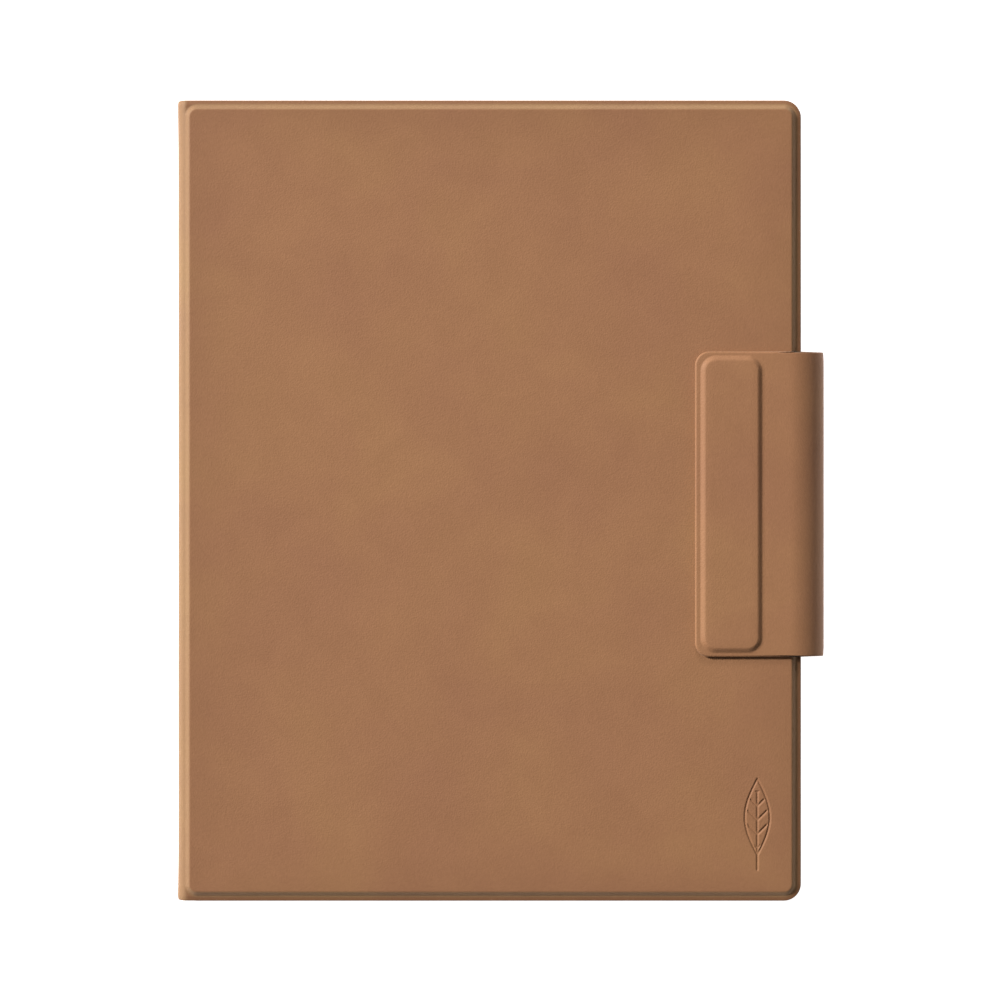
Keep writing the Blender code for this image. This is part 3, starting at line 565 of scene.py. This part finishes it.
def build_strap_root(skin_material, lining_material):
    """From under the rear cover's rim to the middle of the web."""
    outline = (STRAP_END - STRAP_MIDDLE, STRAP_END, FLAP_Y - FLAP_HALF, FLAP_Y + FLAP_HALF)
    corners = (SQUARE_CORNER, SQUARE_CORNER)
    inner = inset_box(outline, 2 * MM)
    rings = shell_rings(outline, corners, inner, (1 * MM, 1 * MM), [0, 0.05, 0.1, 0.2, 0.35, 0.6, 1])
    lines = strap_lines(inset_box(inner, 0.5 * MM), 0.5 * MM, 2 * MM)
    faces = strap_top, level_face(STRAP_UNDER)
    skin = build_sheet("flap_root_leather", rings, lines, bend_strap, *faces, skin_material, bends=True)
    lining = build_strap_lining("flap_root_microfibre", outline, corners, lining_material)
    return skin, lining


def build_strap_lining(name, outline, corners, material):
    """The lining stands back a little from the leather's edges, but not where two sheets meet."""
    inset = 0.12 * MM
    left, right, low, high = outline
    at_tip = left == 0.0
    box = (left + (inset if at_tip else 0), right, low + inset, high - inset)
    inner = inset_box(box, 2 * MM)
    rings = shell_rings(box, corners, inner, (2 * MM, 1 * MM), [0, 0.05, 0.12, 0.3, 0.6, 1])
    lines = strap_lines(inset_box(inner, 0.5 * MM), 0.6 * MM, 3 * MM)
    faces = level_face(STRAP_UNDER - 0.02 * MM), level_face(-FLAP)
    return build_sheet(name, rings, lines, bend_strap, *faces, material, bends=True)


# ---------------------------------------------------------------- materials


class Nodes:
    """A material's node tree, with short calls for the nodes that the finishes use."""

    def __init__(self, name, colour, roughness, metallic=0.0):
        self.material = bpy.data.materials.new(name)
        self.material.use_nodes = True
        self.tree = self.material.node_tree
        self.surface = self.tree.nodes["Principled BSDF"]
        self.surface.inputs["Base Color"].default_value = (*colour, 1.0)
        self.surface.inputs["Roughness"].default_value = roughness
        self.surface.inputs["Metallic"].default_value = metallic

    def add(self, kind, **settings):
        node = self.tree.nodes.new("ShaderNode" + kind)
        for key, value in settings.items():
            setattr(node, key, value)
        return node

    def link(self, source, target):
        self.tree.links.new(source, target)

    def place(self, flat):
        """Coordinates in metres: along a flat sheet, or in the object's own frame."""
        if flat:
            return self.add("Attribute", attribute_name="flat_place").outputs["Vector"]
        return self.add("TexCoord").outputs["Object"]

    def noise(self, where, scale, detail=2.0, roughness=0.5, distortion=0.0):
        node = self.add("TexNoise")
        self.link(where, node.inputs["Vector"])
        node.inputs["Scale"].default_value = scale
        node.inputs["Detail"].default_value = detail
        node.inputs["Roughness"].default_value = roughness
        node.inputs["Distortion"].default_value = distortion
        return node.outputs["Fac"]

    def cells(self, where, scale, feature="F1"):
        node = self.add("TexVoronoi", feature=feature)
        self.link(where, node.inputs["Vector"])
        node.inputs["Scale"].default_value = scale
        return node.outputs["Distance"]

    def stretched(self, where, by):
        node = self.add("Mapping")
        self.link(where, node.inputs["Vector"])
        node.inputs["Scale"].default_value = by
        return node.outputs["Vector"]

    def ramp(self, value, stops):
        """A colour for each value: stops are pairs of a position and a colour."""
        node = self.add("ValToRGB")
        self.link(value, node.inputs["Fac"])
        elements = node.color_ramp.elements
        while len(elements) < len(stops):
            elements.new(0.5)
        for element, (position, colour) in zip(elements, stops):
            element.position = position
            element.color = (*colour, 1.0)
        return node.outputs["Color"]

    def math(self, operation, a, b=None, clamp=False):
        node = self.add("Math", operation=operation, use_clamp=clamp)
        for socket, value in zip(node.inputs, (a, b)):
            if isinstance(value, (int, float)):
                socket.default_value = value
            elif value is not None:
                self.link(value, socket)
        return node.outputs["Value"]

    def blend(self, a, b, factor, mode="MIX"):
        node = self.add("Mix", data_type="RGBA", blend_type=mode)
        for socket, value in ((node.inputs[6], a), (node.inputs[7], b), (node.inputs[0], factor)):
            if isinstance(value, bpy.types.NodeSocket):
                self.link(value, socket)
            else:
                socket.default_value = value if isinstance(value, (int, float)) else (*value, 1.0)
        return node.outputs[2]

    def shade(self, colour, value, stops):
        """A colour multiplied by a ramp over the value."""
        return self.blend(colour, self.ramp(value, stops), 1.0, "MULTIPLY")

    def range(self, value, low, high):
        node = self.add("MapRange")
        self.link(value, node.inputs["Value"])
        node.inputs["To Min"].default_value = low
        node.inputs["To Max"].default_value = high
        return node.outputs["Result"]

    def bump(self, height, distance, after=None):
        node = self.add("Bump")
        node.inputs["Distance"].default_value = distance
        self.link(height, node.inputs["Height"])
        if after is not None:
            self.link(after, node.inputs["Normal"])
        return node.outputs["Normal"]

    def finish(self, colour, normal, roughness=None):
        self.link(colour, self.surface.inputs["Base Color"])
        self.link(normal, self.surface.inputs["Normal"])
        if roughness is not None:
            self.link(roughness, self.surface.inputs["Roughness"])
        return self.material


def leather_material():
    """Matte nubuck: soft clouds of tone, a brushed nap, fine grain, darker edges and a painted highlight
    on slopes.
    """
    n = Nodes("leather_nubuck", (0.36, 0.17, 0.08), 0.6)
    n.surface.inputs["Specular IOR Level"].default_value = 0.25
    n.surface.inputs["Sheen Weight"].default_value = 0.4
    n.surface.inputs["Sheen Roughness"].default_value = 0.35
    n.surface.inputs["Sheen Tint"].default_value = (1.0, 0.95, 0.88, 1.0)
    at = n.place(flat=True)
    clouds = n.noise(at, 24.0, 4.0, 0.5, 0.4)
    wisps = n.noise(at, 80.0, 4.0, 0.6, 0.6)
    nap = n.noise(at, 900.0, 3.0, 0.7)
    edge_darkening_and_highlight = n.add("Attribute", attribute_name="edge_darkening_and_highlight").outputs["Fac"]
    tans = [(0.30, (0.353, 0.164, 0.082)), (0.5, (0.370, 0.176, 0.084)), (0.72, (0.386, 0.190, 0.086))]
    colour = n.ramp(clouds, tans)
    colour = n.shade(colour, wisps, [(0.35, (0.975, 0.97, 0.965)), (0.68, (1.025, 1.025, 1.025))])
    colour = n.shade(colour, nap, [(0.3, (0.96, 0.955, 0.95)), (0.7, (1.04, 1.04, 1.04))])
    # The stop at 0.7 is a painted highlight tint: it takes red out of the slopes and the spine, as light
    # pales their highlights. The panel's edges and the rim are darker.
    panel_middle, panel_edge = (0.0, (1.0, 1.0, 1.0)), (0.4, (0.89, 0.88, 0.88))
    stretched, rim = (0.7, (0.87, 1.0, 1.0)), (1.0, (0.76, 0.75, 0.75))
    colour = n.shade(colour, edge_darkening_and_highlight, [panel_middle, panel_edge, stretched, rim])
    normal = n.bump(n.cells(at, 1900.0), 0.00003)
    normal = n.bump(n.noise(at, 2600.0, 3.0, 0.65), 0.00004, normal)
    return n.finish(colour, normal, n.range(wisps, 0.56, 0.66))


def microfibre_material():
    """A brushed brown lining: broad strokes of tone and short fibres."""
    n = Nodes("microfibre", (0.24, 0.17, 0.12), 0.95)
    n.surface.inputs["Specular IOR Level"].default_value = 0.15
    n.surface.inputs["Sheen Weight"].default_value = 0.35
    n.surface.inputs["Sheen Roughness"].default_value = 0.4
    at = n.place(flat=True)
    brushed = n.noise(n.stretched(at, (1.0, 2.0, 1.0)), 45.0, 4.0, 0.55, 0.3)
    colour = n.ramp(brushed, [(0.3, (0.232, 0.164, 0.118)), (0.7, (0.262, 0.188, 0.136))])
    fibres = n.noise(n.stretched(at, (1.0, 0.4, 1.0)), 2600.0, 4.0, 0.75)
    colour = n.shade(colour, fibres, [(0.3, (0.82, 0.82, 0.82)), (0.7, (1.16, 1.15, 1.13))])
    return n.finish(colour, n.bump(fibres, 0.0001), n.range(brushed, 0.88, 1.0))


def darker(colour, by):
    return tuple(channel * by for channel in colour)


def moulded_plastic(name, colour, roughness):
    n = Nodes(name, colour, roughness)
    at = n.place(flat=False)
    tone = n.noise(at, 30.0, 3.0)
    grain = n.noise(at, 3200.0, 2.0)
    tones = n.ramp(tone, [(0.3, darker(colour, 0.95)), (0.7, colour)])
    return n.finish(tones, n.bump(grain, 0.00002), n.range(grain, roughness - 0.06, roughness + 0.08))


def brushed_metal(name, colour, roughness):
    n = Nodes(name, colour, roughness, 1.0)
    strokes = n.noise(n.stretched(n.place(flat=False), (1.0, 40.0, 1.0)), 120.0, 4.0, 0.6)
    tones = n.ramp(strokes, [(0.3, darker(colour, 0.86)), (0.7, colour)])
    return n.finish(tones, n.bump(strokes, 0.00001), n.range(strokes, roughness - 0.08, roughness + 0.1))


def fibreboard_material():
    n = Nodes("fibreboard", (0.30, 0.27, 0.23), 0.9)
    fibres = n.noise(n.stretched(n.place(flat=False), (1.0, 0.3, 1.0)), 900.0, 5.0, 0.7)
    colour = n.ramp(fibres, [(0.3, (0.22, 0.19, 0.16)), (0.7, (0.36, 0.33, 0.28))])
    return n.finish(colour, n.bump(fibres, 0.00005))


def circuit_material():
    n = Nodes("circuit_board", (0.02, 0.14, 0.08), 0.4)
    traces = n.cells(n.stretched(n.place(flat=False), (1.0, 0.25, 1.0)), 420.0, "DISTANCE_TO_EDGE")
    colour = n.ramp(traces, [(0.02, (0.05, 0.27, 0.15)), (0.08, (0.018, 0.12, 0.07))])
    return n.finish(colour, n.bump(traces, 0.00003))


def film_material(name, colour, roughness):
    n = Nodes(name, colour, roughness)
    creases = n.noise(n.place(flat=False), 90.0, 4.0, 0.6, 1.2)
    tones = n.ramp(creases, [(0.3, darker(colour, 0.8)), (0.7, colour)])
    return n.finish(tones, n.bump(creases, 0.00006))


def page_material():
    """The front film over electronic paper: an off-white border and a grey page with ruled lines."""
    n = Nodes("front_film", (0.6, 0.6, 0.57), 0.38)
    n.surface.inputs["Specular IOR Level"].default_value = 0.4
    at = n.place(flat=False)
    split = n.add("SeparateXYZ")
    n.link(at, split.inputs["Vector"])
    lens_low, lens_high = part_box("front_lens")
    middle_x, middle_y = (lens_low.x + lens_high.x) / 2, 2.5 * MM
    half_wide, half_tall = 78.6 * MM, 104.8 * MM
    dx = n.math("ABSOLUTE", n.math("SUBTRACT", split.outputs["X"], middle_x))
    dy = n.math("ABSOLUTE", n.math("SUBTRACT", split.outputs["Y"], middle_y))
    soft = 0.1 * MM
    in_x = n.math("DIVIDE", n.math("SUBTRACT", half_wide, dx), soft, clamp=True)
    in_y = n.math("DIVIDE", n.math("SUBTRACT", half_tall, dy), soft, clamp=True)
    window = n.math("MULTIPLY", in_x, in_y)
    pitch, line_width = 8.0 * MM, 0.22 * MM
    phase = n.math("FRACT", n.math("DIVIDE", n.math("ADD", split.outputs["Y"], 1.0), pitch))
    from_line = n.math("MULTIPLY", n.math("ABSOLUTE", n.math("SUBTRACT", phase, 0.5)), pitch)
    ruled = n.math("SUBTRACT", 1.0, n.math("DIVIDE", from_line, line_width, clamp=True))
    side_margin, end_margin = 9.0 * MM, 14.0 * MM
    ruled_x = n.math("LESS_THAN", dx, half_wide - side_margin)
    ruled_y = n.math("LESS_THAN", dy, half_tall - end_margin)
    ruled = n.math("MULTIPLY", ruled, n.math("MULTIPLY", ruled_x, ruled_y))
    specks = n.noise(at, 5200.0, 2.0, 0.6)
    paper = n.ramp(specks, [(0.3, (0.50, 0.51, 0.48)), (0.7, (0.57, 0.575, 0.545))])
    ink, ink_strength = (0.30, 0.31, 0.30), 0.55
    page = n.blend(paper, ink, n.math("MULTIPLY", ruled, ink_strength))
    border = n.ramp(n.noise(at, 40.0), [(0.3, (0.70, 0.69, 0.66)), (0.7, (0.73, 0.72, 0.69))])
    colour = n.blend(border, page, window)
    return n.finish(colour, n.bump(specks, 0.000008), n.range(specks, 0.36, 0.46))


def dress_cad_nodes():
    """A finish for every node, by the first word in this list that its name contains."""
    steel = brushed_metal("stamped_steel", (0.55, 0.56, 0.57), 0.36)
    nickel = brushed_metal("nickel_plate", (0.63, 0.61, 0.57), 0.28)
    aluminium = brushed_metal("milled_aluminium", (0.68, 0.69, 0.70), 0.4)
    housing = moulded_plastic("housing_plastic", (0.63, 0.62, 0.59), 0.5)
    black = moulded_plastic("black_plastic", (0.02, 0.02, 0.022), 0.45)
    circuit = circuit_material()
    flex = film_material("amber_film", (0.42, 0.20, 0.05), 0.35)
    pouch = film_material("battery_pouch", (0.12, 0.12, 0.13), 0.42)
    board = fibreboard_material()
    finishes = {
        "magnet": nickel,
        "screw": steel,
        "shield": steel,
        "plate": steel,
        "microphone": steel,
        "port_shell": steel,
        "port_tongue": black,
        "speaker": black,
        "sensor": black,
        "switch": black,
        "housing": housing,
        "button": housing,
        "bezel": moulded_plastic("bezel_plastic", (0.72, 0.71, 0.68), 0.42),
        "lens": page_material(),
        "epaper": moulded_plastic("electronic_paper", (0.55, 0.56, 0.53), 0.6),
        "main_board": circuit,
        "digitiser_flex": flex,
        "digitiser": circuit,
        "flex": flex,
        "antenna": flex,
        "battery": pouch,
        "mid_frame": aluminium,
        "cover_board": board,
        "skin": board,
        "lining": board,
        "crease": board,
        "flap": board,
        "web": board,
    }
    for name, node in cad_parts.items():
        key = next(key for key in finishes if key in name)
        node.data.materials.clear()
        node.data.materials.append(finishes[key])


# ---------------------------------------------------------------- the folio


def build_folio():
    leather = leather_material()
    microfibre = microfibre_material()

    for front, body in ((True, "front_cover"), (False, "rear_cover")):
        side = "front" if front else "rear"
        skin = build_cover_skin(f"{side}_cover_leather", front, leather)
        lining = build_cover_lining(f"{side}_cover_microfibre", front, microfibre)
        for piece in (skin, lining):
            if front:
                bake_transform(piece)
            else:
                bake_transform(piece)
        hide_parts(f"{side}_cover_skin", f"{side}_hinge_crease")
        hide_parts(f"{side}_cover_lining")
        if front:
            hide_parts("spine_skin")
            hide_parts("spine_lining")

    root_skin, root_lining = build_strap_root(leather, microfibre)
    tip_skin, tip_lining = build_strap_tip(leather, microfibre)
    for piece in (root_skin, root_lining):
        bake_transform(piece)
    for piece in (tip_skin, tip_lining):
        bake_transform(piece)
    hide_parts("flap_root", "flap_web")
    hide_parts("flap_bend", "flap_tip_skin")
    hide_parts("flap_tip_lining")


# ---------------------------------------------------------------- floor, light and camera


def build_stage():
    bpy.ops.mesh.primitive_plane_add(size=6.0, location=(0, 0, 0))
    floor = bpy.context.object
    floor.name = "floor"
    n = Nodes("pale_floor", (0.86, 0.86, 0.86), 0.9)
    n.surface.inputs["Emission Color"].default_value = (1, 1, 1, 1)
    n.surface.inputs["Emission Strength"].default_value = 1.0
    floor.data.materials.append(n.material)


def add_light(name, place, size, power):
    """A square lamp that faces the folio."""
    data = bpy.data.lights.new(name, "AREA")
    data.shape = "SQUARE"
    data.size = size
    data.energy = power
    lamp = bpy.data.objects.new(name, data)
    bpy.context.scene.collection.objects.link(lamp)
    lamp.location = place
    lamp.rotation_euler = (-Vector(place)).to_track_quat("-Z", "Y").to_euler()


def build_lights():
    add_light("key", (-4.67, 2.28, 3.0), 1.1, 540.0)
    add_light("top_fill", (-0.11, 3.17, 1.48), 0.8, 34.0)
    world = bpy.data.worlds.new("studio")
    world.use_nodes = True
    background = world.node_tree.nodes["Background"]
    background.inputs["Color"].default_value = (1.0, 1.0, 1.0, 1.0)
    background.inputs["Strength"].default_value = 0.1
    bpy.context.scene.world = world
    bpy.context.scene.view_settings.view_transform = "Standard"


def build_camera():
    """Straight above the front cover. The view spans 298 mm at the cover's level."""
    distance, span, sensor = 0.9, 0.298, 36.0
    data = bpy.data.cameras.new("camera")
    data.sensor_width = sensor
    data.lens = sensor * distance / span
    data.clip_start, data.clip_end = 0.01, 20.0
    camera = bpy.data.objects.new("camera", data)
    bpy.context.scene.collection.objects.link(camera)
    camera.location = (-0.2 * MM, 0.16 * MM, FRONT_TOP + distance)
    bpy.context.scene.camera = camera


build_camera()
build_stage()
build_lights()
build_folio()
dress_cad_nodes()
